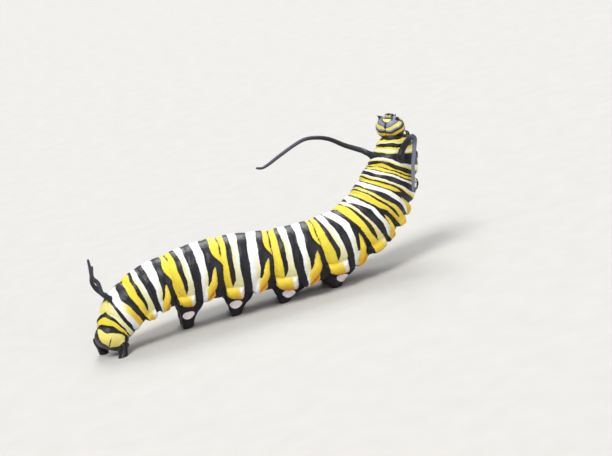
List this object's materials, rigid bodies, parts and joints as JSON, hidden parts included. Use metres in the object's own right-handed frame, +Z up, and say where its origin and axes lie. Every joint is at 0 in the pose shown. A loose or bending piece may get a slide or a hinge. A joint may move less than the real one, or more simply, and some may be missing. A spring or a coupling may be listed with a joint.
{
  "type": "monarch larva",
  "caption": "Full-grown monarch larva at rest on its prolegs, fore body and head raised, with black horns at both ends and yellow, white and black cross bands.",
  "frame": {"origin": "on the floor under the middle of the larva's bounding box", "axes": "+X from the tail towards the head along the floor, +Y to the larva's left, +Z up"},
  "size_m": [0.0388, 0.0142, 0.0158],
  "materials": {
    "banded_skin": "soft matt skin, cross-banded black, white and yellow",
    "black_flesh": "soft black skin with a dull sheen",
    "head_shell": "hard shell with a soft gloss, arched in black and yellow",
    "horn_black": "soft black skin"
  },
  "bodies": {
    "root": {"abdomen_1": "banded_skin", "abdomen_10": "banded_skin", "abdomen_2": "banded_skin", "abdomen_3": "banded_skin", "abdomen_4": "banded_skin", "abdomen_5": "banded_skin", "abdomen_6": "banded_skin", "abdomen_7": "banded_skin", "abdomen_8": "banded_skin", "abdomen_9": "banded_skin", "anal_proleg_left": "black_flesh", "anal_proleg_right": "black_flesh", "antenna_left": "black_flesh", "antenna_right": "black_flesh", "filament_front_left_base": "horn_black", "filament_front_left_tip": "horn_black", "filament_front_right_base": "horn_black", "filament_front_right_tip": "horn_black", "filament_rear_left": "horn_black", "filament_rear_right": "horn_black", "head": "head_shell", "leg_1_left": "black_flesh", "leg_1_right": "black_flesh", "leg_2_left": "black_flesh", "leg_2_right": "black_flesh", "leg_3_left": "black_flesh", "leg_3_right": "black_flesh", "proleg_3_left": "black_flesh", "proleg_3_right": "black_flesh", "proleg_4_left": "black_flesh", "proleg_4_right": "black_flesh", "proleg_5_left": "black_flesh", "proleg_5_right": "black_flesh", "proleg_6_left": "black_flesh", "proleg_6_right": "black_flesh", "thorax_1": "banded_skin", "thorax_2": "banded_skin", "thorax_3": "banded_skin"}
  },
  "joints": []
}
